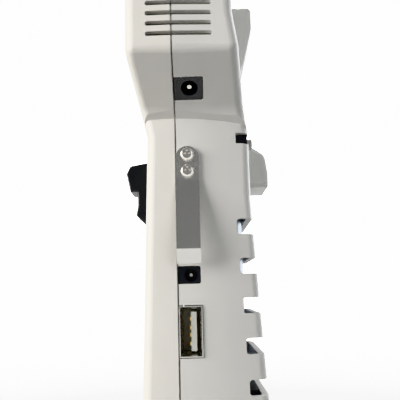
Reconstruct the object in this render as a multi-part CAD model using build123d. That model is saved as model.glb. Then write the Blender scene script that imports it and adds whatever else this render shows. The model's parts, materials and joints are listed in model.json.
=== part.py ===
"""Handheld lensmeter, upright on its flat base.

Millimetres, +Z up, origin at the centre of the base face. The display and the trigger look
to -X, the nosepiece, lens rest and light arm to +X. Ports, vents and the clip are on the -Y side.
"""
import os

from build123d import *

os.makedirs("parts", exist_ok=True)

# ---- driving dimensions -------------------------------------------------------------------
PARTING_X = -6.9          # plane where the rear and front shells meet
SEAM = 0.5                # width of the groove along that plane
SEAM_DEPTH = 0.9
WALL = 2.0
EDGE_R = 2.8              # rounding of the long outer edges
DRAFT = 2.0               # mould draft of the head's sides, degrees
CROWN_R = 118.0           # radius of the handle's sides seen from above
CROWN_X = -8.0            # depth at which the handle is widest

FOOT_T = 2.0              # rubber foot below the shells
HANDLE_HALF = 25.0        # half width of the handle in Y
HANDLE_REAR_LOW = -18.3
HANDLE_REAR_TOP = -15.4
HANDLE_FRONT_LOW = 19.8
HANDLE_FRONT_WAIST = 15.2
WAIST_Z = 84.0
NECK_Z = 103.5            # where the handle ends and the head begins to swell
CREASE_Z = 108.8          # start of the slanted underside of the head
HANDLE_TOP_Z = 114.0      # end of the handle's form, inside the head
HEAD_LOW_Z = 123.6        # bottom edge of the head's side faces
HEAD_HALF = 42.0
HEAD_REAR = -20.0
HEAD_FRONT = 10.3
HEAD_FRONT_Z = 135.0
HEAD_TOP = 205.0
HEAD_CORNER_R = 20.0

AXIS_Z = 182.0            # optical axis, along X
NOSE_TIP_X = 20.3
ARM_HALF = 13.0
ARM_LOW_Z = 193.0         # underside of the light arm's beam
ARM_IN_X = 38.0           # inner face of the hanging light head
ARM_OUT_X = 52.0
ARM_TIP_Z = 169.5
ARM_SCREWS = ((20.0, 200.6), (34.0, 200.6), (44.0, 172.0))

FIT = 0.15                # ordinary clearance between assembled pieces
CLEAR = 0.4               # clearance round moving pieces

PORT_FACE_Y = -HANDLE_HALF
CLIP_X = -3.5
CLIP_W = 6.8
CLIP_T = 0.6
CLIP_SCREW_Z = (97.6, 92.6)
BOARD_REAR_X = -9.1       # handle board, rear face
BOARD_FRONT_X = -7.5
HEAD_BOARD_REAR_X = -12.0
HEAD_BOARD_FRONT_X = -10.4

PIVOT_X, PIVOT_Z = -12.5, 80.8
TRIGGER_HALF = 6.0

VENT_X0, VENT_X1 = -14.1, 4.4
VENT_LOW_Z = 128.2
VENT_PITCH = 3.0
VENT_H = 1.3
VENT_COUNT = 9
VENT_SPAN = VENT_PITCH * (VENT_COUNT - 1)

WINDOW_Y = 34.0
WINDOW_Z0, WINDOW_Z1 = 140.0, 200.0
KEY_HALF_Y, KEY_HALF_Z = 6.4, 3.4
KEY_GAP = 0.35
KEY_TOP_X = -20.9
KEY_STEM_X = -15.1

NOSE_D = 18.0
REST_HALF = 11.0
HOOK_HALF = 10.0
REST_SCREW_Y = 6.5
REST_SCREW_Z = 142.0
BOSS_D = 7.4
SCREW_HEAD_SINK = 2.6     # depth of the head screws' seats below the front face

GROOVE_TOP_Z = 78.5
GROOVE_PITCH = 11.5
GROOVE_H = 4.5
GROOVE_DEPTH = 0.6        # on the front face
GROOVE_SIDE_DEPTH = 0.28
GROOVE_COUNT = 6
GROOVE_END_X = 10.6
GROOVE_END_STEP = 0.55

JACK_LOW_X, JACK_LOW_X1 = -3.1, -0.3
JACK_LOW_Z0, JACK_LOW_Z1 = 59.8, 64.9
JACK_UP_X, JACK_UP_X1 = -2.3, 1.7
JACK_UP_HALF = 3.9
PORT_R = 0.6              # corner rounding of the jack openings
UNDERSIDE_ANGLE = 41.0    # slope of the head's underside against the horizontal
UPPER_JACK_Y, UPPER_JACK_Z = -32.4, 115.3
USB_X0, USB_X1 = -6.9, 0.1
USB_Z0, USB_Z1 = 39.0, 53.8
USB_MID_Z = (USB_Z0 + USB_Z1) / 2
USB_MID_X = (USB_X0 + USB_X1) / 2
USB_HALF_Z = 6.55         # half height of the receptacle behind its flare
JACK_LOW_MID_Z = (JACK_LOW_Z0 + JACK_LOW_Z1) / 2

TRIGGER_LOW_Z, TRIGGER_HIGH_Z = 78.3, 100.3
SWITCH_Z = 94.0

SLOT_Y0, SLOT_Y1 = -21.6, -11.6
SLOT_Z0, SLOT_Z1 = 101.2, 104.4
STEM_Z = (SLOT_Z0 + SLOT_Z1) / 2
GUIDE_Y0, GUIDE_Y1 = -21.0, -12.2
SLIDER_Y0, SLIDER_Y1 = -16.0, -12.4
STOP_Y1 = -18.8           # inner face of the guide's end stop

GRIP_SEAT_X = 15.0
BATTERY_X0, BATTERY_X1 = 1.0, 12.8
BATTERY_Z0, BATTERY_Z1 = 22.0, 84.0

HEAD_SCREWS = [(-28.0, 131.0), (28.0, 131.0), (-36.2, 188.0), (36.2, 188.0)]
GRIP_SCREWS = [(-14.0, 15.0), (14.0, 15.0)]
KEY_Y = (-16.0, 0.0, 16.0)
KEY_Z = 131.5

# the upper jack stands square to the slanted underside
UPPER_JACK = Pos(0, UPPER_JACK_Y, UPPER_JACK_Z) * Rot(90 - UNDERSIDE_ANGLE, 0, 0)


# ---- helpers ------------------------------------------------------------------------------
def outline(corners):
    """Closed face from (u, v, corner radius) triples."""
    points = [(u, v) for u, v, _ in corners]
    radii = [r for _, _, r in corners]
    return make_face(FilletPolyline(points, radius=radii, close=True))


def grown(face, amount):
    return offset(face, amount, kind=Kind.INTERSECTION) if amount else face


def across(corners, y0, y1):
    """XZ outline swept along Y from y0 to y1."""
    return extrude(Plane.XZ.offset(-y1) * outline(corners), y1 - y0)


def along(corners, x0, x1):
    """YZ outline swept along X from x0 to x1."""
    return extrude(Plane.YZ.offset(x0) * outline(corners), x1 - x0)


def upward(corners, z0, z1):
    """XY outline swept along Z from z0 to z1."""
    return extrude(Plane.XY.offset(z0) * outline(corners), z1 - z0)


def block(x0, x1, y0, y1, z0, z1):
    return Pos((x0 + x1) / 2, (y0 + y1) / 2, (z0 + z1) / 2) * Box(x1 - x0, y1 - y0, z1 - z0)


def rod_x(x0, x1, y, z, d):
    return Pos((x0 + x1) / 2, y, z) * Rot(0, 90, 0) * Cylinder(d / 2, x1 - x0)


def rod_y(y0, y1, x, z, d):
    return Pos(x, (y0 + y1) / 2, z) * Rot(90, 0, 0) * Cylinder(d / 2, y1 - y0)


def rod_z(z0, z1, x, y, d):
    return Pos(x, y, (z0 + z1) / 2) * Cylinder(d / 2, z1 - z0)


def rounded_end(solid, radius):
    """Round the two edges along Y at the solid's far end in X."""
    end = solid.bounding_box().max.X
    return fillet([e for e in solid.edges().filter_by(Axis.Y) if (e @ 0.5).X > end - 0.01], radius)


def rect(u0, u1, v0, v1, r):
    return [(u0, v0, r), (u1, v0, r), (u1, v1, r), (u0, v1, r)]


def rear_x(z):
    """Rear face of the handle at a height."""
    return HANDLE_REAR_LOW + (HANDLE_REAR_TOP - HANDLE_REAR_LOW) * z / NECK_Z


# ---- outer form ---------------------------------------------------------------------------
def front_outline():
    """Outline seen along X: narrow handle, slanted underside, wide head."""
    half = [
        (HANDLE_HALF, FOOT_T - 6.0, 0.0),
        (HANDLE_HALF, CREASE_Z, 9.0),
        (HEAD_HALF, HEAD_LOW_Z, 3.2),
        (HEAD_HALF, HEAD_TOP, HEAD_CORNER_R),
    ]
    mirrored = [(-y, z, r) for y, z, r in reversed(half)]
    return outline(half + mirrored)


def side_outline(inset):
    """Outline seen along Y, offset inwards by the inset, flat at the foot."""
    face = outline([
        (HANDLE_REAR_LOW, FOOT_T, 0.0),
        (HANDLE_FRONT_LOW, FOOT_T, 0.0),
        (HANDLE_FRONT_WAIST, WAIST_Z, 60.0),
        (HANDLE_FRONT_WAIST, NECK_Z, 12.0),
        (HEAD_FRONT, HEAD_FRONT_Z, 30.0),
        (HEAD_FRONT, HEAD_TOP, 3.0),
        (HEAD_REAR, HEAD_TOP, 3.0),
        (HEAD_REAR, HEAD_LOW_Z, 14.0),
        (HANDLE_REAR_TOP, NECK_Z, 14.0),
    ])
    return grown(face, -inset)


def crowned(x):
    """Half width of the handle at a depth: its sides are one long arc seen from above."""
    return HANDLE_HALF - (x - CROWN_X) ** 2 / (2 * CROWN_R)


def handle_section(z, rear, front, inset):
    """Handle seen from above at a height, with crowned sides and rounded corners."""
    radius = max(EDGE_R - inset, 0.8)
    x0, x1 = rear + inset, front - inset
    y0, y1 = crowned(x0) - inset, crowned(x1) - inset
    middle = CROWN_X, crowned(CROWN_X) - inset
    sketch = make_face([
        ThreePointArc((x0, y0), middle, (x1, y1)),
        Line((x1, y1), (x1, -y1)),
        ThreePointArc((x1, -y1), (middle[0], -middle[1]), (x0, -y0)),
        Line((x0, -y0), (x0, y0)),
    ])
    return Pos(0, 0, z) * fillet(sketch.vertices(), radius)


def handle_form(inset):
    """Handle from the foot to inside the head, through a waist."""
    top = HANDLE_TOP_Z - NECK_Z
    top_front = HANDLE_FRONT_WAIST - top * (HANDLE_FRONT_WAIST - HEAD_FRONT) / (HEAD_FRONT_Z - NECK_Z)
    top_rear = HANDLE_REAR_TOP - top * (HANDLE_REAR_TOP - HEAD_REAR) / (HEAD_LOW_Z - NECK_Z)
    stations = [
        (FOOT_T + inset, rear_x(FOOT_T + inset), HANDLE_FRONT_LOW),
        (WAIST_Z, rear_x(WAIST_Z), HANDLE_FRONT_WAIST),
        (NECK_Z, HANDLE_REAR_TOP, HANDLE_FRONT_WAIST),
        (HANDLE_TOP_Z, top_rear, top_front),
    ]
    return loft([handle_section(z, rear, front, inset) for z, rear, front in stations], ruled=True)


def soften(form, side, radius):
    """Round the long edges between the sides and the rear or front face."""
    chosen = []
    for edge in form.edges():
        middle = edge @ 0.5
        on_face = side * (middle.X - PARTING_X) > 7.0
        on_side = abs(middle.Y) > HANDLE_HALF - 3.5 or middle.Z > HEAD_TOP - 6.0
        box = edge.bounding_box()
        runs_along = box.size.X < 9.0 and max(box.size.Y, box.size.Z) > 1.0
        if on_face and on_side and runs_along and middle.Z > FOOT_T + 1.0:
            chosen.append(edge)
    return fillet(chosen, radius)


def head_form(side, inset):
    """One half of the head, drafted away from the parting plane, down to its slanted underside."""
    face = grown(front_outline(), -inset)
    plane = Plane((PARTING_X, 0, 0), x_dir=(0, side, 0), z_dir=(side, 0, 0))
    drafted = extrude(plane * face, 32.0, taper=DRAFT)
    slab = extrude(Plane.XZ.offset(-60) * side_outline(inset), 120)
    head = soften(drafted & slab, side, max(EDGE_R - inset, 0.8))
    run = (HEAD_LOW_Z - CREASE_Z) / (HEAD_HALF - HANDLE_HALF)
    low = CREASE_Z - HANDLE_HALF * run + inset * 1.2
    wedge = [(0, low, 0), (60, low + 60 * run, 0), (60, 240, 0), (-60, 240, 0), (-60, low + 60 * run, 0)]
    return head & along(wedge, -60, 60)


def form(side, inset):
    """One half of the outer form, offset inwards by the inset. side is -1 or 1."""
    keep = block(PARTING_X, 60, -60, 60, -10, 240)
    if side < 0:
        keep = block(-60, PARTING_X, -60, 60, -10, 240)
    return head_form(side, inset) + (handle_form(inset) & keep)


# ---- shells -------------------------------------------------------------------------------
def head_boss_rear(y, z):
    return rod_x(HEAD_REAR + 1.0, PARTING_X - FIT, y, z, BOSS_D)


def head_boss_front(y, z):
    return rod_x(PARTING_X + FIT, HEAD_FRONT - 1.0, y, z, BOSS_D)


def grip_boss_rear(y, z):
    return rod_x(rear_x(z) + 1.0, PARTING_X - FIT, y, z, BOSS_D)


def grip_boss_front(y, z):
    return rod_x(PARTING_X + FIT, HANDLE_FRONT_LOW - 2.0, y, z, BOSS_D)


def vent_slots(side):
    """Row of through slots in one side face of the head, crossing the seam."""
    slots = []
    face_y = side * HEAD_HALF
    for i in range(VENT_COUNT):
        z = VENT_LOW_Z + i * VENT_PITCH
        shape = outline(rect(VENT_X0, VENT_X1, z - VENT_H / 2, z + VENT_H / 2, VENT_H / 2 - 0.05))
        plane = Plane.XZ.offset(-face_y - 3.0)
        slots.append(extrude(plane * shape, 6.0))
    return slots


def seam_groove():
    """Slab that opens a fine groove round the parting plane, as deep as the seam."""
    slab = block(PARTING_X - SEAM / 2, PARTING_X + SEAM / 2, -60, 60, FOOT_T - 1, HEAD_TOP + 5)
    core = grown(front_outline(), -SEAM_DEPTH)
    plane = Plane((PARTING_X - 2, 0, 0), x_dir=(0, 1, 0), z_dir=(1, 0, 0))
    inner = extrude(plane * core, 4.0) & block(-20, 20, -60, 60, FOOT_T + SEAM_DEPTH, HEAD_TOP + 5)
    return slab - inner


def rear_shell():
    shell = form(-1, 0.0) - form(-1, WALL)
    shell += [head_boss_rear(y, z) for y, z in HEAD_SCREWS]
    shell += [grip_boss_rear(y, z) for y, z in GRIP_SCREWS]
    for y in (-9.4, 9.4):
        shell += block(rear_x(PIVOT_Z) + 1.0, PIVOT_X + 2.2, y - 1.6, y + 1.6, 76.0, 84.0)
    shell &= form(-1, 0.0)
    shell -= rod_y(-11.0 - FIT, 11.0 + FIT, PIVOT_X, PIVOT_Z, 2.0)
    shell -= [rod_x(PARTING_X - 6.2, PARTING_X, y, z, 4.2) for y, z in HEAD_SCREWS + GRIP_SCREWS]
    half = TRIGGER_HALF + CLEAR
    shell -= block(-30, rear_x(90) + 4.5, -half, half, TRIGGER_LOW_Z - 0.7, TRIGGER_HIGH_Z + 0.8)
    shell -= along(rect(-WINDOW_Y, WINDOW_Y, WINDOW_Z0, WINDOW_Z1, 4.0), -30, HEAD_REAR + 1.2)
    shell -= along(rect(-30.0, 30.0, WINDOW_Z0 + 4, WINDOW_Z1 - 4, 1.5), -30, HEAD_REAR + 4)
    for y in KEY_Y:
        slot = rect(y - KEY_HALF_Y, y + KEY_HALF_Y, KEY_Z - KEY_HALF_Z, KEY_Z + KEY_HALF_Z, 2.2)
        shell -= along(slot, -30, HEAD_REAR + 4)
    shell -= vent_slots(-1) + vent_slots(1)
    shell -= seam_groove()
    return shell - block(PARTING_X - FIT / 2, 60, -60, 60, 0, 240)


def hook():
    """Finger rest that swells from the front face of the handle."""
    profile = [
        (12.0, 104.3, 0.0),
        (17.6, 103.2, 2.2),
        (21.4, 100.6, 3.4),
        (22.2, 94.5, 6.0),
        (22.1, 90.1, 0.7),
        (12.0, 90.1, 0.0),
    ]
    solid = across(profile, -HOOK_HALF, HOOK_HALF)
    ends = [e for e in solid.edges() if abs((e @ 0.5).Y) > HOOK_HALF - 0.01 and (e @ 0.5).X > 17]
    return fillet(ends, 1.6)


def grip_grooves():
    """Shallow bands across the front of the handle that wrap its corners."""
    whole = form(1, 0.0)
    skin = whole
    for shift in (GROOVE_SIDE_DEPTH, -GROOVE_SIDE_DEPTH):
        whole &= Pos(-GROOVE_DEPTH, shift, 0) * form(1, 0.0)
    skin -= whole
    bands = []
    for i in range(GROOVE_COUNT):
        top = GROOVE_TOP_Z - i * GROOVE_PITCH
        lean = GROOVE_END_X + i * GROOVE_END_STEP
        bands.append(across(rect(lean, 40.0, top - GROOVE_H, top, 0.9), -60, 60))
    return [skin & band for band in bands]


def port_cuts():
    """Openings for the two power jacks and the USB port, open to the parting plane."""
    x0 = PARTING_X - 1
    y0, y1 = PORT_FACE_Y - 5, PORT_FACE_Y + 4
    lower = rounded_end(block(x0, JACK_LOW_X1, y0, y1, JACK_LOW_Z0, JACK_LOW_Z1), PORT_R)
    usb = block(x0, USB_X1, y0, y1, USB_Z0, USB_Z1)
    upper = rounded_end(block(x0, JACK_UP_X1, -6.0, 3.2, -JACK_UP_HALF, JACK_UP_HALF), PORT_R)
    return [lower, usb, UPPER_JACK * upper]


def slider_notch():
    """Notch for the thumb tab, open to the front and to the -Y side."""
    return block(11.1, 40, -40, SLOT_Y1, SLOT_Z0, SLOT_Z1)


def front_shell():
    shell = form(1, 0.0) - form(1, WALL)
    shell += [head_boss_front(y, z) for y, z in HEAD_SCREWS]
    shell += [grip_boss_front(y, z) for y, z in GRIP_SCREWS]
    shell += block(CLIP_X - 3.2, CLIP_X + 3.2, PORT_FACE_Y + 1, PORT_FACE_Y + 9, 88.5, 101.5)
    shell += block(9.2, 14.0, SLOT_Y0 - 2, SLOT_Y1 + 2, SLOT_Z0 - 2, SLOT_Z1 + 2)
    shell += rod_z(FOOT_T, 13.0, 0, 0, 13.0)
    shell &= form(1, 0.0)
    shell -= rod_z(0, 12.0, 0, 0, 8.8)
    shell += hook() - form(1, WALL)
    shell -= grip_grooves()
    shell -= slider_notch()
    shell -= block(8.0, 13.0, GUIDE_Y0, GUIDE_Y1, SLOT_Z0 + 0.6, SLOT_Z1 - 0.6)
    shell -= [rod_x(PARTING_X, 40, y, z, 3.3) for y, z in HEAD_SCREWS + GRIP_SCREWS]
    shell -= [rod_x(HEAD_FRONT - SCREW_HEAD_SINK, 40, y, z, 6.2) for y, z in HEAD_SCREWS]
    shell -= [rod_x(GRIP_SEAT_X, 40, y, z, 6.2) for y, z in GRIP_SCREWS]
    shell -= [rod_y(-40, PORT_FACE_Y + 7.5, CLIP_X, z, 2.0) for z in CLIP_SCREW_Z]
    shell -= port_cuts()
    shell -= rod_x(5, 40, 0, AXIS_Z, NOSE_D + 2 * FIT)
    shell -= along(rect(-8.0, 8.0, ARM_LOW_Z + 1.8, ARM_LOW_Z + 8.2, 1.0), 5, 40)
    shell -= [rod_x(5, 40, y, REST_SCREW_Z, 2.6) for y in (-REST_SCREW_Y, REST_SCREW_Y)]
    shell -= vent_slots(-1) + vent_slots(1)
    shell -= seam_groove()
    return shell - block(-60, PARTING_X + FIT / 2, -60, 60, 0, 240)


def vent_baffle(side):
    """Dust baffle that stands just behind the vent slots of one side."""
    y = side * (HEAD_HALF - WALL - 1.3)
    z0, z1 = VENT_LOW_Z - 2.0, VENT_LOW_Z + VENT_SPAN + 2.0
    return block(VENT_X0 + 0.2, HEAD_FRONT - 3.2, y - 0.4, y + 0.4, z0, z1)


# ---- display side -------------------------------------------------------------------------
def display_window():
    edge = FIT
    return along(
        rect(-WINDOW_Y + edge, WINDOW_Y - edge, WINDOW_Z0 + edge, WINDOW_Z1 - edge, 3.9),
        HEAD_REAR,
        HEAD_REAR + 1.2,
    )


def lcd_panel():
    return block(HEAD_REAR + 2.3, HEAD_REAR + 4.8, -32.0, 32.0, WINDOW_Z0 + 2, WINDOW_Z1 - 2)


def lcd_frame():
    """Pressed steel tray behind the panel, with standoffs for the head board."""
    x0 = HEAD_REAR + 4.9
    tray = block(x0, x0 + 0.8, -32.0, 32.0, WINDOW_Z0 + 2, WINDOW_Z1 - 2)
    tray -= block(x0 - 1, x0 + 2, -22.0, 22.0, WINDOW_Z0 + 12, WINDOW_Z1 - 12)
    for y in (-28.0, 28.0):
        for z in (WINDOW_Z0 + 6, WINDOW_Z1 - 6):
            tray += rod_x(x0 + 0.4, HEAD_BOARD_REAR_X, y, z, 4.5)
    return tray


def main_board():
    board = block(HEAD_BOARD_REAR_X, HEAD_BOARD_FRONT_X, -31.5, 31.5, 125.5, 199.0)
    return board - [rod_x(-30, 0, y, z, 8.6) for y, z in HEAD_SCREWS]


def processor():
    """Chips on the front of the head board, each its own solid."""
    x = HEAD_BOARD_FRONT_X
    return Compound([
        block(x, x + 1.2, -7.0, 7.0, 135.0, 149.0),
        block(x, x + 1.0, 12.0, 22.0, 138.0, 146.0),
        block(x, x + 0.8, -22.0, -15.0, 138.0, 145.0),
    ])


def key(y):
    """Menu key: a domed cap with a flange that keeps it behind the shell."""
    half_y = KEY_HALF_Y - KEY_GAP
    half_z = KEY_HALF_Z - KEY_GAP
    cap = along(rect(y - half_y, y + half_y, KEY_Z - half_z, KEY_Z + half_z, 2.0), KEY_TOP_X, -17.4)
    rim = [e for e in cap.edges() if (e @ 0.5).X < KEY_TOP_X + 0.01]
    cap = fillet(rim, 0.5)
    flange_y = half_y + 0.9
    flange_z = half_z + 0.8
    flange = block(-17.6, -16.8, y - flange_y, y + flange_y, KEY_Z - flange_z, KEY_Z + flange_z)
    return cap + flange + rod_x(-17.0, KEY_STEM_X, y, KEY_Z, 2.4)


def key_switches():
    return Compound([
        block(HEAD_BOARD_REAR_X - 2.2, HEAD_BOARD_REAR_X, y - 3, y + 3, KEY_Z - 3, KEY_Z + 3)
        for y in KEY_Y
    ])


# ---- optics in the head -------------------------------------------------------------------
def nosepiece():
    """Tapered lens support with a narrow rim, screwed into the head and bored for the beam."""
    profile = [
        (HEAD_FRONT - 2.4, 0.0),
        (HEAD_FRONT - 2.4, NOSE_D / 2),
        (HEAD_FRONT + 2.2, NOSE_D / 2),
        (HEAD_FRONT + 3.4, NOSE_D / 2 - 1.0),
        (NOSE_TIP_X - 1.8, 5.0),
        (NOSE_TIP_X - 0.4, 4.4),
        (NOSE_TIP_X, 3.9),
        (NOSE_TIP_X, 0.0),
    ]
    face = make_face(Polyline([(x, r) for x, r in profile], close=True))
    cone = revolve(Plane.XZ * face, Axis.X)
    bore = rod_x(0, 40, 0, 0, 5.6)
    return Pos(0, 0, AXIS_Z) * (cone - bore)


def nose_collar():
    """Threaded metal ring behind the front wall that holds the nosepiece."""
    ring = rod_x(HEAD_FRONT - 4.6, HEAD_FRONT - 2.4, 0, AXIS_Z, NOSE_D + 5)
    return ring - rod_x(0, 40, 0, AXIS_Z, 12.4)


def hartmann_plate():
    """Blackened plate with a square pattern of pinholes in front of the mirror."""
    x0 = HEAD_FRONT - 5.4
    plate = rod_x(x0, x0 + 0.7, 0, AXIS_Z, 16.0)
    for i in range(-1, 2):
        for j in range(-1, 2):
            plate -= rod_x(x0 - 1, x0 + 2, 1.6 * i, AXIS_Z + 1.6 * j, 0.7)
    return plate


def optical_bench():
    """Cast cradle: a front plate, two cheeks that carry the mirror, and a deck for the sensor."""
    plate = block(3.6, 4.8, -15.0, 15.0, 158.0, 200.0) - rod_x(0, 10, 0, AXIS_Z, 13.0)
    deck = block(-8.6, 4.8, -15.0, 15.0, 158.0, 160.0)
    deck -= rod_z(150, 170, -2.4, 0, 10.0)
    cheeks = [block(-8.6, 4.8, y - 0.9, y + 0.9, 158.0, 192.0) for y in (-11.0, 11.0)]
    return plate + deck + cheeks


def fold_mirror():
    slab = Box(1.2, 19.6, 13.0)
    return Pos(-3.2, 0, AXIS_Z) * Rot(0, -45, 0) * slab


def field_lens():
    """Plano-convex lens under the mirror."""
    dome = Pos(-2.4, 0, 166.4 - 12.0) * Sphere(13.0)
    return (dome & rod_z(164.4, 168.0, -2.4, 0, 9.6)) + rod_z(163.2, 164.5, -2.4, 0, 9.6)


def lens_cell():
    ring = rod_z(160.0, 165.4, -2.4, 0, 11.8) - rod_z(159, 170, -2.4, 0, 9.7)
    return ring + (rod_z(160.0, 163.1, -2.4, 0, 11.0) - rod_z(159, 170, -2.4, 0, 8.0))


def sensor_board():
    return block(-8.6, 4.6, -12.0, 12.0, 154.6, 156.0) - rod_z(150, 160, 3.0, 9.0, 2.0)


def image_sensor():
    return block(-5.4, 0.6, -3.2, 3.2, 156.0, 157.4)


# ---- light arm ----------------------------------------------------------------------------
def arm_profile(inset):
    corners = [
        (HEAD_FRONT, ARM_LOW_Z, 0.0),
        (ARM_IN_X, ARM_LOW_Z, 7.0),
        (ARM_IN_X, ARM_TIP_Z, 2.5),
        (ARM_OUT_X, ARM_TIP_Z, 5.0),
        (ARM_OUT_X, HEAD_TOP, 12.0),
        (HEAD_FRONT, HEAD_TOP, 0.0),
    ]
    return grown(outline(corners), -inset)


def arm_form(inset):
    """Hooked arm with rounded edges along its outside."""
    solid = extrude(Plane.XZ.offset(-ARM_HALF + inset) * arm_profile(inset), 2 * (ARM_HALF - inset))
    radius = max(2.6 - inset, 0.8)
    edges = [e for e in solid.edges() if abs(abs((e @ 0.5).Y) - ARM_HALF + inset) < 0.01]
    edges = [e for e in edges if (e @ 0.5).X > HEAD_FRONT + inset + 0.2]
    return fillet(edges, radius)


def arm_shell(side):
    """Half of the arm's housing, with the root closed by a wall against the head."""
    shell = arm_form(0.0) - arm_form(WALL)
    shell -= rod_x(30, ARM_IN_X + 5, 0, AXIS_Z, 13.0)
    shell -= rod_x(HEAD_FRONT - 1, HEAD_FRONT + WALL + 1, 0, ARM_LOW_Z + 5.0, 5.0)
    root_slot = block(HEAD_FRONT - 1, HEAD_FRONT + WALL + 1, -7.6, 7.6, ARM_LOW_Z + 2.2, ARM_LOW_Z + 7.8)
    shell -= root_slot
    shell += [rod_y(-ARM_HALF + 1, ARM_HALF - 1, x, z, 4.5) for x, z in ARM_SCREWS]
    shell -= [rod_y(-ARM_HALF + 2, ARM_HALF, x, z, 2.1) for x, z in ARM_SCREWS]
    shell -= [rod_y(ARM_HALF - 1.8, ARM_HALF + 1, x, z, 3.9) for x, z in ARM_SCREWS]
    y0, y1 = (FIT / 2, 40) if side > 0 else (-40, -FIT / 2)
    return shell & block(0, 80, y0, y1, 150, 220)


def arm_bracket():
    """Steel strap from the optical bench through the head wall and along the arm."""
    z0, z1 = ARM_LOW_Z + 3.0, ARM_LOW_Z + 4.6
    beam = block(4.8, 48.4, -6.5, 6.5, z0, z1)
    tab = block(4.8, 6.4, -6.5, 6.5, ARM_LOW_Z + 1.2, z1)
    drop = block(47.2, 48.4, -6.5, 6.5, 175.5, z1)
    return beam + tab + drop


def led_board():
    return rod_x(46.0, 47.2, 0, AXIS_Z, 13.4)


def led_emitter():
    dome = Pos(45.0, 0, AXIS_Z) * Sphere(1.1)
    dome &= block(40, 45, -2, 2, AXIS_Z - 2, AXIS_Z + 2)
    return rod_x(45.0, 46.0, 0, AXIS_Z, 3.2) + dome


def collimator_barrel():
    ring = rod_x(ARM_IN_X + WALL + 0.05, 46.0, 0, AXIS_Z, 15.0)
    ring -= rod_x(30, ARM_IN_X + 4.6, 0, AXIS_Z, 12.4)
    return ring - rod_x(30, 50, 0, AXIS_Z, 9.0)


def collimator_lens():
    disc = rod_x(ARM_IN_X + 2.2, ARM_IN_X + 4.5, 0, AXIS_Z, 12.2)
    dome = Pos(ARM_IN_X + 4.5 + 9.0, 0, AXIS_Z) * Sphere(11.0)
    return disc & dome


def arm_window():
    """Clear port where the light leaves the arm."""
    disc = rod_x(ARM_IN_X + 0.4, ARM_IN_X + 1.8, 0, AXIS_Z, 12.8)
    rim = [e for e in disc.edges() if (e @ 0.5).X < ARM_IN_X + 0.5]
    return chamfer(rim, 0.3)


def arm_screws():
    """Screws that join the arm halves, heads in the +Y half."""
    screws = []
    for x, z in ARM_SCREWS:
        head = rod_y(ARM_HALF - 1.8, ARM_HALF - 0.5, x, z, 3.6)
        head -= block(x - 1.1, x + 1.1, ARM_HALF - 1.2, ARM_HALF, z - 0.25, z + 0.25)
        head -= block(x - 0.25, x + 0.25, ARM_HALF - 1.2, ARM_HALF, z - 1.1, z + 1.1)
        screws.append(head + rod_y(-ARM_HALF + 2.5, ARM_HALF - 1.7, x, z, 2.0))
    return Compound(screws)


# ---- lens rest ----------------------------------------------------------------------------
def lens_rest():
    """Ledge that the spectacle rim stands on, with a rounded lip and a tapered underside."""
    profile = [
        (HEAD_FRONT, 151.0, 0.0),
        (18.6, 151.0, 1.6),
        (18.6, 143.5, 6.0),
        (15.8, 132.0, 6.0),
        (13.4, 125.6, 0.0),
        (10.0, 125.6, 0.0),
        (10.0, 140.0, 0.0),
    ]
    solid = across(profile, -REST_HALF, REST_HALF)
    corners = [e for e in solid.edges() if abs(abs((e @ 0.5).Y) - REST_HALF) < 0.01]
    solid = fillet([e for e in corners if (e @ 0.5).X > 13], 1.5)
    solid -= form(1, 0.0)
    groove = rod_y(-40, 40, 14.2, 152.2, 3.6)
    return solid - groove - [rod_x(5, 14, y, REST_SCREW_Z, 2.0) for y in (-REST_SCREW_Y, REST_SCREW_Y)]


def rest_screws():
    screws = []
    for y in (-REST_SCREW_Y, REST_SCREW_Y):
        head = rod_x(HEAD_FRONT - 3.4, HEAD_FRONT - 2.0, y, REST_SCREW_Z, 4.2)
        screws.append(head + rod_x(HEAD_FRONT - 2.2, 13.6, y, REST_SCREW_Z, 2.0))
    return Compound(screws)


# ---- handle electronics -------------------------------------------------------------------
def power_board():
    return block(BOARD_REAR_X, BOARD_FRONT_X, -22.4, 20.0, 36.0, 104.0)


def usb_shell():
    """Stamped receptacle lying on the board, flared at its mouth."""
    z0, z1 = USB_MID_Z - USB_HALF_Z, USB_MID_Z + USB_HALF_Z
    body = block(USB_X0 + 0.6, USB_X1 - 0.6, PORT_FACE_Y + 0.6, PORT_FACE_Y + 14.0, z0, z1)
    plane = Plane((USB_MID_X, PORT_FACE_Y - 0.1, USB_MID_Z), x_dir=(1, 0, 0), z_dir=(0, 1, 0))
    mouth = plane * Rectangle(6.7, 14.3)
    throat = plane.offset(1.6) * Rectangle(5.8, 13.1)
    flare = loft([mouth, throat])
    back_y = PORT_FACE_Y + 12.5
    hollow = block(USB_X0 + 0.9, USB_X1 - 0.9, PORT_FACE_Y - 1, back_y, z0 + 0.35, z1 - 0.35)
    inner = loft([plane.offset(-0.01) * Rectangle(6.1, 13.7), plane.offset(1.6) * Rectangle(5.2, 12.4)])
    legs = [
        block(BOARD_FRONT_X, USB_X0 + 0.7, y, y + 2.0, z - 1.0, z + 1.0)
        for y in (PORT_FACE_Y + 4.0, PORT_FACE_Y + 10.5)
        for z in (z0 + 1.2, z1 - 1.2)
    ]
    return (body + flare + legs) - hollow - inner


def usb_tongue():
    """White insulator with the contact tongue."""
    y = PORT_FACE_Y
    base = block(USB_X0 + 1.0, USB_X1 - 1.0, y + 10.0, y + 12.4, USB_MID_Z - 6.1, USB_MID_Z + 6.1)
    return base + block(-3.4, -1.8, y + 1.4, y + 10.2, USB_MID_Z - 5.5, USB_MID_Z + 5.5)


def usb_contacts():
    y0, y1 = PORT_FACE_Y + 2.0, PORT_FACE_Y + 9.8
    centres = [USB_MID_Z + z for z in (-3.5, -1.0, 1.0, 3.5)]
    return Compound([block(-3.7, -3.4, y0, y1, z - 0.5, z + 0.5) for z in centres])


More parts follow.
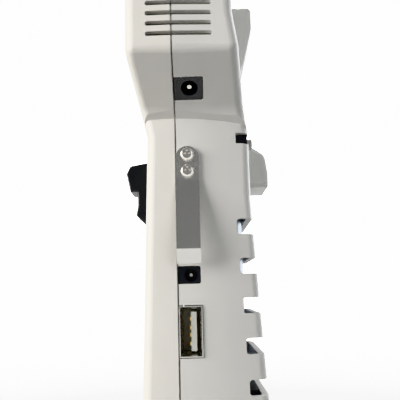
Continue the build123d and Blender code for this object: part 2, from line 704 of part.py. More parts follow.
def lower_jack():
    """Small power socket on the handle board, with a shrouded pin."""
    y = PORT_FACE_Y
    z0, z1 = JACK_LOW_Z0, JACK_LOW_Z1
    body = block(PARTING_X + 0.1, JACK_LOW_X1 - 0.1, y + 0.5, y + 10, z0 + 0.1, z1 - 0.1)
    body = rounded_end(body, PORT_R)
    body += block(BOARD_FRONT_X, PARTING_X + 0.2, y + 3, y + 10, z0 + 0.4, z1 - 0.4)
    return body - rod_y(y - 1, y + 8.5, JACK_LOW_X, JACK_LOW_MID_Z, 3.8)


def lower_jack_pin():
    return rod_y(PORT_FACE_Y + 1.2, PORT_FACE_Y + 8.5, JACK_LOW_X, JACK_LOW_MID_Z, 0.9)


def upper_jack():
    """Power socket set square to the slanted underside of the head."""
    body = block(-6.7, JACK_UP_X1 - 0.1, 0.5, 10.0, -JACK_UP_HALF + 0.1, JACK_UP_HALF - 0.1)
    body = rounded_end(body, PORT_R)
    body -= rod_y(-1, 8.5, JACK_UP_X, 0, 4.8)
    return UPPER_JACK * body


def upper_jack_pin():
    return UPPER_JACK * rod_y(1.2, 8.5, JACK_UP_X, 0, 1.3)


def buzzer():
    return rod_x(BOARD_FRONT_X, BOARD_FRONT_X + 3.4, 10.0, 88.0, 9.0)


# ---- clip ---------------------------------------------------------------------------------
def belt_clip():
    """Spring strip: a flat tab, an arm that stands off the handle, and a lip turned back in."""
    y0 = PORT_FACE_Y - 0.02
    points = [
        (y0 - CLIP_T / 2, 103.5),
        (y0 - CLIP_T / 2, 90.2),
        (y0 - 5.65, 69.4),
        (y0 - 2.9, 65.6),
    ]
    centre = FilletPolyline(points, radius=[5.0, 0.9])
    strip = Plane.YZ.offset(CLIP_X - CLIP_W / 2) * trace(centre, CLIP_T)
    solid = extrude(strip, CLIP_W)
    tab = rod_y(-60, 0, CLIP_X, 100.2 - CLIP_W / 2, CLIP_W)
    solid &= block(-40, 40, -60, 0, 0, 100.2 - CLIP_W / 2) + tab
    return solid - [rod_y(-60, 0, CLIP_X, z, 2.3) for z in CLIP_SCREW_Z]


def clip_screws():
    """Two pan head screws with cross recesses."""
    screws = []
    face_y = PORT_FACE_Y - 0.02 - CLIP_T
    for z in CLIP_SCREW_Z:
        head = rod_y(face_y - 1.3, face_y, CLIP_X, z, 3.9)
        rim = [e for e in head.edges() if (e @ 0.5).Y < face_y - 1.2]
        head = fillet(rim, 0.7)
        arm_a = block(CLIP_X - 1.15, CLIP_X + 1.15, face_y - 2, face_y - 0.5, z - 0.28, z + 0.28)
        arm_b = block(CLIP_X - 0.28, CLIP_X + 0.28, face_y - 2, face_y - 0.5, z - 1.15, z + 1.15)
        screws.append(head - arm_a - arm_b + rod_y(face_y - 0.1, PORT_FACE_Y + 7.0, CLIP_X, z, 2.0))
    return Compound(screws)


# ---- trigger ------------------------------------------------------------------------------
def trigger():
    """Rocking trigger with a stepped finger pad, hinged on a pin at its lower end."""
    profile = [
        (-14.0, TRIGGER_HIGH_Z, 0.0),
        (-22.7, 98.8, 1.0),
        (-24.0, 96.2, 1.2),
        (-22.7, 90.1, 0.3),
        (-20.3, 90.1, 0.4),
        (-20.3, 85.5, 2.0),
        (-20.9, 82.4, 0.5),
        (-16.6, TRIGGER_LOW_Z, 0.6),
        (-15.1, TRIGGER_LOW_Z, 0.0),
        (-15.1, 84.5, 0.0),
        (-14.0, 88.0, 0.0),
    ]
    pad = across(profile, -TRIGGER_HALF, TRIGGER_HALF)
    edges = [e for e in pad.edges() if abs(abs((e @ 0.5).Y) - TRIGGER_HALF) < 0.01]
    pad = fillet([e for e in edges if (e @ 0.5).X < -19.5], 0.6)
    for y in (-4.4, 4.4):
        lug = rod_y(y - 1.4, y + 1.4, PIVOT_X, PIVOT_Z, 4.6)
        lug += block(-15.4, PIVOT_X, y - 1.4, y + 1.4, PIVOT_Z - 2.2, PIVOT_Z + 2.2)
        pad += lug
    return pad - rod_y(-40, 40, PIVOT_X, PIVOT_Z, 2.1)


def trigger_pin():
    return rod_y(-11.0, 11.0, PIVOT_X, PIVOT_Z, 2.0)


def trigger_spring():
    """Torsion spring round the pin, one leg against the board side."""
    turns = [
        Pos(PIVOT_X, -1.35 + 0.9 * i, PIVOT_Z) * Rot(90, 0, 0) * Torus(1.75, 0.35) for i in range(4)
    ]
    coil = turns[0]
    for ring in turns[1:]:
        coil += ring
    coil += block(PIVOT_X + 1.45, PIVOT_X + 2.05, -1.7, 1.7, PIVOT_Z - 0.25, PIVOT_Z + 0.25)
    return coil + rod_z(PIVOT_Z, PIVOT_Z + 8.0, PIVOT_X + 1.75, 1.35, 0.6)


def trigger_switch():
    body = block(BOARD_REAR_X - 2.2, BOARD_REAR_X, -3.0, 3.0, SWITCH_Z - 3.0, SWITCH_Z + 3.0)
    return body - rod_x(-20, BOARD_REAR_X - 0.2, 0, SWITCH_Z, 3.2)


def switch_plunger():
    return rod_x(-13.85, BOARD_REAR_X - 1.6, 0, SWITCH_Z, 3.0)


# ---- power switch -------------------------------------------------------------------------
def slider_guide():
    """Dark liner of the notch and its end stop, with a slot for the slider's stem."""
    liner = block(9.4, 11.1, GUIDE_Y0 + 0.1, GUIDE_Y1 - 0.1, SLOT_Z0 + 0.6 + FIT, SLOT_Z1 - 0.6 - FIT)
    liner += block(11.1, 16.0, GUIDE_Y0, STOP_Y1, SLOT_Z0 + FIT, SLOT_Z1 - FIT)
    liner &= form(1, 0.4)
    return liner - block(5, 20, GUIDE_Y0 + 2.2, GUIDE_Y1 - 0.8, STEM_Z - 0.75, STEM_Z + 0.75)


def power_slider():
    """Thumb tab that slides along Y in the notch."""
    tab = block(11.5, 16.8, SLIDER_Y0, SLIDER_Y1, SLOT_Z0 + CLEAR / 2 + 0.1, SLOT_Z1 - CLEAR / 2 - 0.1)
    outer = [e for e in tab.edges() if (e @ 0.5).X > 16.7]
    tab = fillet(outer, 0.6)
    stem = block(6.4, 12.0, SLIDER_Y0 + 1.2, SLIDER_Y1 - 1.2, STEM_Z - 0.5, STEM_Z + 0.5)
    return tab + stem


def slide_switch():
    """Electrical slide switch behind the notch, open where the stem enters."""
    body = block(4.2, 9.2, SLOT_Y0 + 2.5, SLOT_Y1 + 1.6, STEM_Z - 3.0, STEM_Z + 3.0)
    return body - block(5.8, 10.0, SLOT_Y0 + 3.0, SLOT_Y1 + 1.0, STEM_Z - 0.75, STEM_Z + 0.75)


# ---- battery and base ---------------------------------------------------------------------
def battery_pack():
    return upward(rect(BATTERY_X0, BATTERY_X1, -17.0, 17.0, 5.5), BATTERY_Z0, BATTERY_Z1)


def battery_cradle():
    """Tray that holds the pack off the wall, screwed to the front shell."""
    tray = block(BATTERY_X0 - 0.8, 16.0, -18.0, 18.0, BATTERY_Z0 - 1.6, BATTERY_Z0 + 7.0)
    inner = rect(BATTERY_X0 - 0.2, BATTERY_X1 + 0.2, -17.2, 17.2, 5.7)
    return tray - upward(inner, BATTERY_Z0, BATTERY_Z0 + 20)


def base_foot():
    """Rubber foot that covers the lower end of both shells."""
    half = HANDLE_HALF - 1.2
    corners = rect(HANDLE_REAR_LOW + 0.6, HANDLE_FRONT_LOW - 0.6, -half, half, 3.0)
    foot = upward(corners, 0.0, FOOT_T)
    rim = [e for e in foot.edges() if (e @ 0.5).Z < 0.01]
    foot = chamfer(rim, 0.5)
    return foot - rod_z(-1, 5, 0, 0, 12.0)


def tripod_socket():
    """Brass insert with the camera thread, set in the floor of the front shell."""
    collar = rod_z(0.0, FOOT_T, 0, 0, 11.4)
    barrel = rod_z(FOOT_T, 12.0, 0, 0, 8.8)
    return collar + barrel - rod_z(-1, 10.5, 0, 0, 6.35)


# ---- fasteners ----------------------------------------------------------------------------
def case_screws():
    """Pan head screws that close the shells from the front, as separate solids."""
    screws = []
    for seats, places in ((HEAD_FRONT - SCREW_HEAD_SINK, HEAD_SCREWS), (GRIP_SEAT_X, GRIP_SCREWS)):
        for y, z in places:
            head = rod_x(seats, seats + 1.9, y, z, 5.4)
            head -= block(seats + 1.0, seats + 3, y - 1.6, y + 1.6, z - 0.35, z + 0.35)
            head -= block(seats + 1.0, seats + 3, y - 0.35, y + 0.35, z - 1.6, z + 1.6)
            screws.append(head + rod_x(PARTING_X - 5.0, seats + 0.1, y, z, 2.9))
    return Compound(screws)


def case_inserts():
    return Compound([
        rod_x(PARTING_X - 6.0, PARTING_X - 0.6, y, z, 4.2) - rod_x(-30, 0, y, z, 3.0)
        for y, z in HEAD_SCREWS + GRIP_SCREWS
    ])


BUILDERS = {
    "rear_shell": rear_shell,
    "front_shell": front_shell,
    "vent_baffle_left": lambda: vent_baffle(-1),
    "vent_baffle_right": lambda: vent_baffle(1),
    "display_window": display_window,
    "lcd_panel": lcd_panel,
    "lcd_frame": lcd_frame,
    "main_board": main_board,
    "processor_chips": processor,
    "key_left": lambda: key(KEY_Y[0]),
    "key_middle": lambda: key(KEY_Y[1]),
    "key_right": lambda: key(KEY_Y[2]),
    "key_switches": key_switches,
    "nosepiece": nosepiece,
    "nose_collar": nose_collar,
    "hartmann_plate": hartmann_plate,
    "optical_bench": optical_bench,
    "fold_mirror": fold_mirror,
    "field_lens": field_lens,
    "lens_cell": lens_cell,
    "sensor_board": sensor_board,
    "image_sensor": image_sensor,
    "arm_shell_left": lambda: arm_shell(-1),
    "arm_shell_right": lambda: arm_shell(1),
    "arm_bracket": arm_bracket,
    "arm_screws": arm_screws,
    "led_board": led_board,
    "led_emitter": led_emitter,
    "collimator_barrel": collimator_barrel,
    "collimator_lens": collimator_lens,
    "arm_window": arm_window,
    "lens_rest": lens_rest,
    "rest_screws": rest_screws,
    "power_board": power_board,
    "usb_shell": usb_shell,
    "usb_tongue": usb_tongue,
    "usb_contacts": usb_contacts,
    "lower_jack": lower_jack,
    "lower_jack_pin": lower_jack_pin,
    "upper_jack": upper_jack,
    "upper_jack_pin": upper_jack_pin,
    "buzzer": buzzer,
    "belt_clip": belt_clip,
    "clip_screws": clip_screws,
    "trigger": trigger,
    "trigger_pin": trigger_pin,
    "trigger_spring": trigger_spring,
    "trigger_switch": trigger_switch,
    "switch_plunger": switch_plunger,
    "slider_guide": slider_guide,
    "power_slider": power_slider,
    "slide_switch": slide_switch,
    "battery_pack": battery_pack,
    "battery_cradle": battery_cradle,
    "base_foot": base_foot,
    "tripod_socket": tripod_socket,
    "case_screws": case_screws,
    "case_inserts": case_inserts,
}

for name, build in BUILDERS.items():
    export_step(build(), f"parts/{name}.step")
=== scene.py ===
"""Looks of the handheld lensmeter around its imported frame. Metres, +Z up, same frame as the CAD."""
import json
import math

import bmesh
import bpy
from mathutils import Matrix, Vector


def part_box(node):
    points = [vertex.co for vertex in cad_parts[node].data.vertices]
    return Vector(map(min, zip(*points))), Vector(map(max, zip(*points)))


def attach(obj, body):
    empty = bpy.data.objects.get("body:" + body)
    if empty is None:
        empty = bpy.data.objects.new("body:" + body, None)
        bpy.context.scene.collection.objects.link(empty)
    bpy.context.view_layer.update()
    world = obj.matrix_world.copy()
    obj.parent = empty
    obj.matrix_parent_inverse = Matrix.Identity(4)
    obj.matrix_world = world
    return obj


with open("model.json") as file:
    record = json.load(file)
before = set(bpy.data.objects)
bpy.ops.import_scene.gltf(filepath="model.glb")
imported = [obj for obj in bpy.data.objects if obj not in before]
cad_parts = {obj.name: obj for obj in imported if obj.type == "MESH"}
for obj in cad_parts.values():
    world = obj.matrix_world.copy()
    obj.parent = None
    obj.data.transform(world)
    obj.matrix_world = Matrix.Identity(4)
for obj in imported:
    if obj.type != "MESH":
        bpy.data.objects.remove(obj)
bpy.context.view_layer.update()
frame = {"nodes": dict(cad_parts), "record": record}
NODES = frame["nodes"]

# ---- camera -------------------------------------------------------------------------------
CAM_DISTANCE = 0.195
CAM_HEIGHT = 0.058
CAM_PITCH = 8.7
CAM_ROLL = -1.4
CAM_LENS = 52.9


def make_camera():
    data = bpy.data.cameras.new("camera")
    data.sensor_width = 36.0
    data.lens = CAM_LENS
    data.clip_start = 0.01
    data.clip_end = 20.0
    cam = bpy.data.objects.new("camera", data)
    cam.matrix_world = (
        Matrix.Translation((0.0, -CAM_DISTANCE, CAM_HEIGHT))
        @ Matrix.Rotation(math.radians(90 + CAM_PITCH), 4, "X")
        @ Matrix.Rotation(math.radians(CAM_ROLL), 4, "Z")
    )
    bpy.context.scene.collection.objects.link(cam)
    bpy.context.scene.camera = cam
    bpy.context.scene.view_settings.view_transform = "Khronos PBR Neutral"


# ---- shader graphs ------------------------------------------------------------------------
class Graph:
    """Small helper that wires shader nodes by short names."""

    def __init__(self, name):
        self.mat = bpy.data.materials.new(name)
        self.mat.use_nodes = True
        self.tree = self.mat.node_tree
        self.bsdf = self.tree.nodes["Principled BSDF"]

    def node(self, kind, **sockets):
        made = self.tree.nodes.new(kind)
        for key, value in sockets.items():
            if key in made.inputs:
                made.inputs[key].default_value = value
            else:
                setattr(made, key, value)
        return made

    def link(self, source, target):
        self.tree.links.new(source, target)

    def coords(self, scale=(1.0, 1.0, 1.0)):
        """Object coordinates in metres times a scale."""
        where = self.node("ShaderNodeTexCoord")
        mapping = self.node("ShaderNodeMapping")
        mapping.inputs["Scale"].default_value = scale
        self.link(where.outputs["Object"], mapping.inputs["Vector"])
        return mapping.outputs["Vector"]

    def noise(self, scale, detail=4.0, rough=0.55, stretch=(1.0, 1.0, 1.0)):
        tex = self.node("ShaderNodeTexNoise")
        tex.inputs["Scale"].default_value = scale
        tex.inputs["Detail"].default_value = detail
        tex.inputs["Roughness"].default_value = rough
        self.link(self.coords(stretch), tex.inputs["Vector"])
        return tex.outputs["Fac"]

    def ramp(self, value, stops):
        """Colour ramp from (position, colour) pairs; a colour may be one number."""
        ramp = self.node("ShaderNodeValToRGB")
        bar = ramp.color_ramp
        while len(bar.elements) < len(stops):
            bar.elements.new(0.5)
        for element, (place, colour) in zip(bar.elements, stops):
            element.position = place
            grey = isinstance(colour, (int, float))
            element.color = (colour,) * 3 + (1.0,) if grey else tuple(colour) + (1.0,)
        self.link(value, ramp.inputs["Fac"])
        return ramp.outputs["Color"]

    def mix(self, factor, a, b):
        mix = self.node("ShaderNodeMix", data_type="RGBA")
        for socket, value in ((mix.inputs["Factor"], factor), (mix.inputs[6], a), (mix.inputs[7], b)):
            if isinstance(value, (int, float)):
                socket.default_value = value
            elif isinstance(value, tuple):
                socket.default_value = value + (1.0,)
            else:
                self.link(value, socket)
        return mix.outputs[2]

    def bump(self, height, strength, distance, below=None):
        bump = self.node("ShaderNodeBump")
        bump.inputs["Strength"].default_value = strength
        bump.inputs["Distance"].default_value = distance
        self.link(height, bump.inputs["Height"])
        if below is not None:
            self.link(below, bump.inputs["Normal"])
        return bump.outputs["Normal"]

    def finish(self, colour=None, rough=None, normal=None, **constants):
        for key, value in constants.items():
            name = {"metal": "Metallic", "coat": "Coat Weight", "coat_rough": "Coat Roughness",
                    "spec": "Specular IOR Level", "ior": "IOR", "alpha": "Alpha",
                    "rough_is": "Roughness", "glow": "Emission Strength"}[key]
            self.bsdf.inputs[name].default_value = value
        if colour is not None:
            if isinstance(colour, tuple):
                self.bsdf.inputs["Base Color"].default_value = colour + (1.0,)
            else:
                self.link(colour, self.bsdf.inputs["Base Color"])
        if rough is not None:
            self.link(rough, self.bsdf.inputs["Roughness"])
        if normal is not None:
            self.link(normal, self.bsdf.inputs["Normal"])
        return self.mat


# ---- light and floor ----------------------------------------------------------------------
AMBIENT = 0.17          # what the white room gives the object
BOUNCE = 0.14           # albedo of the floor as the object sees it
WHITE = 6.0             # what the camera sees of the room
GLOSS_ROOM = 0.32       # what polished surfaces mirror of it
FLOOR_HALF = 12.0
GLOW_RADIUS = 0.42      # the floor is all white from here on


def area_light(name, place, target, size, power, colour=(1.0, 1.0, 1.0)):
    data = bpy.data.lights.new(name, "AREA")
    data.shape = "RECTANGLE"
    data.size, data.size_y = size
    data.energy = power
    data.color = colour
    light = bpy.data.objects.new(name, data)
    light.location = place
    light.rotation_euler = (Vector(target) - Vector(place)).to_track_quat("-Z", "Y").to_euler()
    bpy.context.scene.collection.objects.link(light)


def make_stage():
    """Pale floor round the object that brightens to white a short way out."""
    bm = bmesh.new()
    bmesh.ops.create_grid(bm, x_segments=8, y_segments=8, size=FLOOR_HALF)
    mesh = bpy.data.meshes.new("studio_floor")
    bm.to_mesh(mesh)
    bm.free()
    floor = bpy.data.objects.new("studio_floor", mesh)
    paper = Graph("studio_paper")
    path = paper.node("ShaderNodeLightPath")
    seen = path.outputs["Is Camera Ray"]
    bounced = path.outputs["Is Diffuse Ray"]
    paper.finish(paper.mix(bounced, (0.95, 0.95, 0.95), (BOUNCE,) * 3), rough_is=0.9, spec=0.1)
    radial = paper.node("ShaderNodeTexGradient", gradient_type="SPHERICAL")
    paper.link(paper.coords((1 / GLOW_RADIUS,) * 3), radial.inputs["Vector"])
    outside = paper.ramp(radial.outputs["Fac"], [(0.05, 1.0), (0.62, 0.0)])
    both = paper.node("ShaderNodeMath", operation="MULTIPLY")
    paper.link(outside, both.inputs[0])
    paper.link(seen, both.inputs[1])
    glow = paper.node("ShaderNodeEmission", Strength=WHITE)
    blend = paper.node("ShaderNodeMixShader")
    paper.link(both.outputs[0], blend.inputs["Fac"])
    paper.link(paper.bsdf.outputs["BSDF"], blend.inputs[1])
    paper.link(glow.outputs["Emission"], blend.inputs[2])
    paper.link(blend.outputs["Shader"], paper.tree.nodes["Material Output"].inputs["Surface"])
    mesh.materials.append(paper.mat)
    bpy.context.scene.collection.objects.link(floor)


def make_world():
    """White room: what the camera sees is brighter than what it gives the object."""
    world = bpy.data.worlds.new("studio")
    bpy.context.scene.world = world
    world.use_nodes = True
    tree = world.node_tree
    room = tree.nodes["Background"]
    room.inputs["Color"].default_value = (1.0, 1.0, 1.0, 1.0)
    room.inputs["Strength"].default_value = AMBIENT
    white = tree.nodes.new("ShaderNodeBackground")
    white.inputs["Color"].default_value = (1.0, 1.0, 1.0, 1.0)
    white.inputs["Strength"].default_value = WHITE
    gloss = tree.nodes.new("ShaderNodeBackground")
    gloss.inputs["Color"].default_value = (0.97, 0.98, 1.0, 1.0)
    gloss.inputs["Strength"].default_value = GLOSS_ROOM
    blend = tree.nodes.new("ShaderNodeMixShader")
    outer = tree.nodes.new("ShaderNodeMixShader")
    path = tree.nodes.new("ShaderNodeLightPath")
    tree.links.new(path.outputs["Is Glossy Ray"], blend.inputs["Fac"])
    tree.links.new(room.outputs["Background"], blend.inputs[1])
    tree.links.new(gloss.outputs["Background"], blend.inputs[2])
    tree.links.new(path.outputs["Is Camera Ray"], outer.inputs["Fac"])
    tree.links.new(blend.outputs["Shader"], outer.inputs[1])
    tree.links.new(white.outputs["Background"], outer.inputs[2])
    tree.links.new(outer.outputs["Shader"], tree.nodes["World Output"].inputs["Surface"])


def make_lights():
    centre = (0.0, 0.0, 0.1)
    warm, cool = (1.0, 0.975, 0.93), (0.96, 0.98, 1.0)
    area_light("key_left", (-1.0, -0.465, 0.27), centre, (0.8, 0.9), 24.0, warm)
    area_light("fill_front", (0.75, -1.15, 0.4), centre, (0.9, 0.9), 4.2, cool)
    area_light("fill_back", (0.9, 0.6, 0.5), centre, (0.9, 0.9), 11.0, cool)
    area_light("top", (0.0, 0.4, 1.6), (0.0, 0.4, 0.0), (1.6, 1.6), 22.0)


# ---- finishes -----------------------------------------------------------------------------
def shade(colour, factor):
    return tuple(min(1.0, c * factor) for c in colour)


def moulded(name, colour, rough=0.42, grain=0.35, spread=0.035, **constants):
    """Moulded plastic: fine spark-eroded grain, faint cloudiness and slightly uneven gloss."""
    g = Graph(name)
    cloud = g.noise(38.0, 3.0)
    tone = g.ramp(cloud, [(0.3, shade(colour, 1 - spread)), (0.7, shade(colour, 1 + spread * 0.6))])
    fine = g.noise(2600.0, 2.0, 0.5)
    orange = g.noise(420.0, 2.0, 0.4)
    normal = g.bump(orange, grain * 0.35, 0.00008)
    normal = g.bump(fine, grain, 0.00003, normal)
    gloss = g.ramp(g.noise(160.0, 4.0), [(0.3, rough - 0.05), (0.7, rough + 0.06)])
    return g.finish(tone, gloss, normal, **constants)


def brushed(name, colour, rough, stretch, depth):
    """Metal with fine drawn lines along the axis of least stretch."""
    g = Graph(name)
    lines = g.noise(60.0, 6.0, 0.65, stretch)
    tone = g.ramp(lines, [(0.3, shade(colour, 0.86)), (0.7, shade(colour, 1.1))])
    gloss = g.ramp(lines, [(0.25, rough - 0.08), (0.75, rough + 0.1)])
    return g.finish(tone, gloss, g.bump(lines, depth, 0.00002), metal=1.0)


def cast(name, colour, rough=0.5):
    """Blasted or anodised alloy with a fine even grain."""
    g = Graph(name)
    grain = g.noise(1900.0, 3.0)
    tone = g.ramp(grain, [(0.3, shade(colour, 0.85)), (0.7, shade(colour, 1.12))])
    gloss = g.ramp(g.noise(200.0), [(0.3, rough - 0.07), (0.7, rough + 0.08)])
    return g.finish(tone, gloss, g.bump(grain, 0.4, 0.00004), metal=0.9)


def clear(name, tint, alpha, rough=0.03):
    """Coated glass or clear acrylic, with a faint bloom in its gloss."""
    g = Graph(name)
    gloss = g.ramp(g.noise(90.0), [(0.3, rough), (0.8, rough + 0.05)])
    tone = g.ramp(g.noise(30.0), [(0.2, tint), (0.8, shade(tint, 1.1))])
    return g.finish(tone, gloss, alpha=alpha, ior=1.5, coat=0.6, coat_rough=0.03)


def glowing(name, colour, strength):
    """Lit display segment: emission with the fine lattice of a pixel grid."""
    g = Graph(name)
    grid = g.node("ShaderNodeTexChecker", Scale=6000.0)
    g.link(g.coords(), grid.inputs["Vector"])
    grid.inputs["Color1"].default_value = colour + (1.0,)
    grid.inputs["Color2"].default_value = shade(colour, 0.8) + (1.0,)
    g.link(grid.outputs["Color"], g.bsdf.inputs["Emission Color"])
    return g.finish(shade(colour, 0.3), rough_is=0.4, glow=strength)


def board(name):
    """Green solder mask with a buried pattern of tracks and tinned pads."""
    g = Graph(name)
    where = g.coords()
    brick = g.node("ShaderNodeTexBrick", Scale=140.0)
    brick.inputs["Mortar Size"].default_value = 0.09
    brick.inputs["Color1"].default_value = (0.012, 0.13, 0.05, 1.0)
    brick.inputs["Color2"].default_value = (0.02, 0.17, 0.065, 1.0)
    brick.inputs["Mortar"].default_value = (0.05, 0.3, 0.13, 1.0)
    g.link(where, brick.inputs["Vector"])
    dots = g.node("ShaderNodeTexVoronoi", Scale=260.0)
    g.link(where, dots.inputs["Vector"])
    pads = g.ramp(dots.outputs["Distance"], [(0.1, 1.0), (0.16, 0.0)])
    tone = g.mix(pads, brick.outputs["Color"], (0.7, 0.68, 0.62))
    gloss = g.ramp(g.noise(300.0), [(0.3, 0.25), (0.7, 0.42)])
    return g.finish(tone, gloss, g.bump(pads, 0.4, 0.00005))


def make_materials():
    warm_white = (0.80, 0.785, 0.745)
    # the second white is the first one greyed and cooled: painted shade on the front shell and the
    # arm, whose sides turn away from the key light
    painted_shade_white = (0.765, 0.76, 0.735)
    return {
        "rear_plastic": moulded("rear_plastic", warm_white),
        "front_plastic": moulded("front_plastic", painted_shade_white),
        "arm_plastic": moulded("arm_plastic", painted_shade_white),
        "white_plastic": moulded("white_plastic", (0.80, 0.79, 0.76), 0.36),
        "black_plastic": moulded("black_plastic", (0.013, 0.014, 0.016), 0.34, 0.5, 0.2),
        "gloss_black": moulded("gloss_black", (0.010, 0.011, 0.014), 0.16, 0.1, 0.2,
                               coat=0.6, coat_rough=0.1),
        "grey_key": moulded("grey_key", (0.12, 0.14, 0.17), 0.4, 0.5, 0.1),
        "tab_grey": moulded("tab_grey", (0.55, 0.56, 0.54), 0.38),
        "baffle_grey": moulded("baffle_grey", (0.40, 0.40, 0.385), 0.7, 0.6, 0.1),
        "jack_black": moulded("jack_black", (0.012, 0.013, 0.016), 0.24, 0.2, 0.2,
                              coat=0.3, coat_rough=0.2),
        "insulator_white": moulded("insulator_white", (0.62, 0.62, 0.58), 0.45),
        "chip_black": moulded("chip_black", (0.02, 0.02, 0.021), 0.5, 0.8, 0.2),
        "foot_rubber": moulded("foot_rubber", (0.018, 0.018, 0.02), 0.72, 0.9, 0.15),
        "glow_light": glowing("glow_light", (0.75, 0.9, 1.0), 1.6),
        "glow_blue": glowing("glow_blue", (0.12, 0.45, 0.85), 1.3),
        "mark_white": moulded("mark_white", (0.8, 0.8, 0.78), 0.4),
        "clear_window": clear("clear_window", (0.03, 0.035, 0.045), 0.22),
        "lcd_glass": clear("lcd_glass", (0.02, 0.03, 0.045), 1.0, 0.12),
        "optical_glass": clear("optical_glass", (0.72, 0.83, 0.88), 0.38),
        "mirror_glass": brushed("mirror_glass", (0.9, 0.9, 0.91), 0.09, (1.0, 1.0, 1.0), 0.05),
        "circuit_board": board("circuit_board"),
        "spring_steel": brushed("spring_steel", (0.56, 0.555, 0.53), 0.24, (900.0, 900.0, 14.0), 0.08),
        "zinc_steel": brushed("zinc_steel", (0.70, 0.68, 0.64), 0.2, (20.0, 20.0, 20.0), 0.08),
        "nickel_shell": brushed("nickel_shell", (0.60, 0.59, 0.56), 0.25, (40.0, 4.0, 40.0), 0.2),
        "contact_gold": brushed("contact_gold", (0.83, 0.62, 0.25), 0.25, (40.0, 4.0, 40.0), 0.2),
        "insert_brass": brushed("insert_brass", (0.72, 0.55, 0.28), 0.3, (30.0, 30.0, 30.0), 0.25),
        "cast_alloy": cast("cast_alloy", (0.5, 0.51, 0.52)),
        "black_alloy": cast("black_alloy", (0.03, 0.03, 0.033), 0.42),
        "cell_wrap": cast("cell_wrap", (0.33, 0.36, 0.40), 0.38),
    }


MATERIALS = make_materials()
SLOT_OF = {row["node"]: row["material_slot"] for row in frame["record"]["subparts"]}


def paint(obj, material):
    mesh = obj.data
    mesh.materials.clear()
    mesh.materials.append(material)


for name, obj in NODES.items():
    paint(obj, MATERIALS[SLOT_OF[name]])


# ---- pieces -------------------------------------------------------------------------------
SEGMENT_GAP = 0.09      # share of a digit's stroke left open at each end
READINGS = ("+1.25", "-0.50", "90")
READING_H = 0.0075
LABEL_H = 0.0045
ROW_PITCH = 0.0125
DISPLAY_SUNK = 0.00005  # how far the lit marks go into the panel, and stand out of it
DISPLAY_OUT = 0.00035
TARGET_R = 0.0068
TARGET_ARM = 0.009
ROUND_STEPS = 32
DISPLAY_EDGE = 0.0022   # from the panel's edge to the ends of the frame lines
SOFT_KEY_PITCH = 0.016
SOFT_KEY_HALF = 0.003
BATTERY_PITCH = 0.0016
ARROW_HALF = 0.0016
ARROW_TIP = 0.0011
ARROW_TAIL = 0.0009
DOT_R = 0.0009
MARK_OUT = 0.00001      # how far a key's mark stands out, and goes in
MARK_SUNK = 0.00025


def piece(name, mesh, material, body="housing"):
    obj = bpy.data.objects.new(name, mesh)
    bpy.context.scene.collection.objects.link(obj)
    mesh.materials.append(MATERIALS[material])
    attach(obj, body)


def prism(bm, corners, x0, x1):
    """Closed prism along X over a convex YZ outline."""
    low = [bm.verts.new((x0, y, z)) for y, z in corners]
    high = [bm.verts.new((x1, y, z)) for y, z in corners]
    bm.faces.new(low)
    bm.faces.new(list(reversed(high)))
    for i in range(len(corners)):
        j = (i + 1) % len(corners)
        bm.faces.new((low[j], low[i], high[i], high[j]))


def bar(bm, y0, z0, y1, z1, half, x0, x1):
    """Bar of a given half width from one YZ point to another."""
    run = Vector((y1 - y0, z1 - z0))
    side = Vector((-run.y, run.x)).normalized() * half
    prism(bm, [(y0 - side.x, z0 - side.y), (y0 + side.x, z0 + side.y),
               (y1 + side.x, z1 + side.y), (y1 - side.x, z1 - side.y)], x0, x1)


def finish_mesh(bm, name):
    bmesh.ops.recalc_face_normals(bm, faces=bm.faces)
    mesh = bpy.data.meshes.new(name)
    bm.to_mesh(mesh)
    bm.free()
    return mesh


# which of the seven strokes each digit lights: top, upper right, lower right, bottom,
# lower left, upper left, middle
DIGITS = {"0": "1111110", "1": "0110000", "2": "1101101", "3": "1111001",
          "5": "1011011", "9": "1111011", "-": "0000001", "+": "0000001"}


def digit(bm, sign, y, z, height, half, x0, x1):
    """Seven-stroke number whose lower left corner is at (y, z); it reads from -X."""
    w, h = -0.55 * height, height / 2
    ends = [((0, 2), (1, 2)), ((1, 2), (1, 1)), ((1, 1), (1, 0)), ((0, 0), (1, 0)),
            ((0, 1), (0, 0)), ((0, 2), (0, 1)), ((0, 1), (1, 1))]
    for lit, ((a, b), (c, d)) in zip(DIGITS[sign], ends):
        if lit == "1":
            p = Vector((y + a * w, z + b * h))
            q = Vector((y + c * w, z + d * h))
            gap = (q - p) * SEGMENT_GAP
            bar(bm, *(p + gap), *(q - gap), half, x0, x1)
    if sign == "+":
        bar(bm, y + w / 2, z + 0.6 * h, y + w / 2, z + 1.4 * h, half, x0, x1)


def number(bm, text, y, z, height, half, x0, x1):
    """Row of digits that advances to the reader's right, towards -Y."""
    for sign in text:
        if sign == ".":
            bar(bm, y - 0.1 * height, z, y - 0.1 * height, z + 2 * half, half, x0, x1)
            y -= 0.3 * height
        else:
            digit(bm, sign, y, z, height, half, x0, x1)
            y -= 0.85 * height


def make_readings(x0, x1, mid_z):
    """Three rows of readings, each with its row number."""
    bm = bmesh.new()
    for i, text in enumerate(READINGS):
        number(bm, text, 0.004, mid_z + 0.0105 - ROW_PITCH * i, READING_H, 0.00045, x0, x1)
    for i in range(len(READINGS)):
        number(bm, str(i + 1), 0.0255, mid_z + 0.0115 - ROW_PITCH * i, LABEL_H, 0.0003, x0, x1)
    piece("display_readings", finish_mesh(bm, "display_readings"), "glow_light")


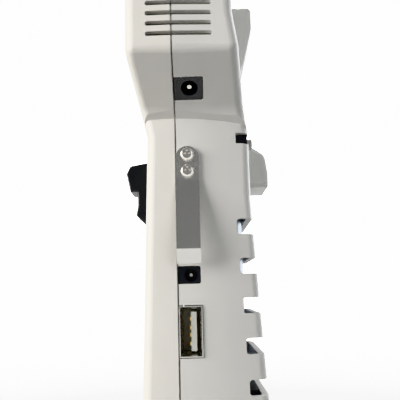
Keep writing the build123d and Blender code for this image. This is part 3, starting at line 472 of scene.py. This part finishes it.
def make_target(x0, x1, mid_z, low, high):
    """Ring and cross, two frame lines, soft-key bars and a charge indicator."""
    bm = bmesh.new()
    centre_y, centre_z = 0.0135, mid_z - 0.0015
    for i in range(ROUND_STEPS):
        a, b = 2 * math.pi * i / ROUND_STEPS, 2 * math.pi * (i + 1) / ROUND_STEPS
        bar(bm, centre_y + TARGET_R * math.cos(a), centre_z + TARGET_R * math.sin(a),
            centre_y + TARGET_R * math.cos(b), centre_z + TARGET_R * math.sin(b), 0.00022, x0, x1)
    for dy, dz in ((1, 0), (0, 1)):
        bar(bm, centre_y - dy * TARGET_ARM, centre_z - dz * TARGET_ARM,
            centre_y + dy * TARGET_ARM, centre_z + dz * TARGET_ARM, 0.00018, x0, x1)
    half_y = high.y - DISPLAY_EDGE
    for z in (high.z - 0.0072, low.z + 0.0068):
        bar(bm, -half_y, z, half_y, z, 0.0002, x0, x1)
    for i in range(3):
        y, z = SOFT_KEY_PITCH * (i - 1), low.z + 0.0035
        bar(bm, y - SOFT_KEY_HALF, z, y + SOFT_KEY_HALF, z, 0.0006, x0, x1)
    for i in range(4):
        y = -half_y + BATTERY_PITCH * i + 0.001
        bar(bm, y, high.z - 0.0055, y, high.z - 0.0045 + 0.0007 * i, 0.0005, x0, x1)
    piece("display_target", finish_mesh(bm, "display_target"), "glow_blue")


def make_display():
    """Lit marks on the face of the panel."""
    low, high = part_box("lcd_panel")
    x0, x1 = low.x - DISPLAY_OUT, low.x + DISPLAY_SUNK
    mid_z = (low.z + high.z) / 2
    make_readings(x0, x1, mid_z)
    make_target(x0, x1, mid_z, low, high)


def make_key_marks():
    """Marks set into the keys: an arrow up, a dot and an arrow down."""
    for name, turn in (("key_left", 1), ("key_middle", 0), ("key_right", -1)):
        low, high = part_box(name)
        y, z = (low.y + high.y) / 2, (low.z + high.z) / 2
        x0, x1 = low.x - MARK_OUT, low.x + MARK_SUNK
        bm = bmesh.new()
        if turn:
            tip = z + turn * ARROW_TIP
            tail = z - turn * ARROW_TAIL
            bar(bm, y - ARROW_HALF, tail, y, tip, 0.00028, x0, x1)
            bar(bm, y + ARROW_HALF, tail, y, tip, 0.00028, x0, x1)
        else:
            angles = [2 * math.pi * i / 24 for i in range(24)]
            prism(bm, [(y + DOT_R * math.cos(a), z + DOT_R * math.sin(a)) for a in angles], x0, x1)
        piece(name + "_mark", finish_mesh(bm, name + "_mark"), "mark_white", name)


make_display()
make_key_marks()
make_camera()
make_stage()
make_world()
make_lights()
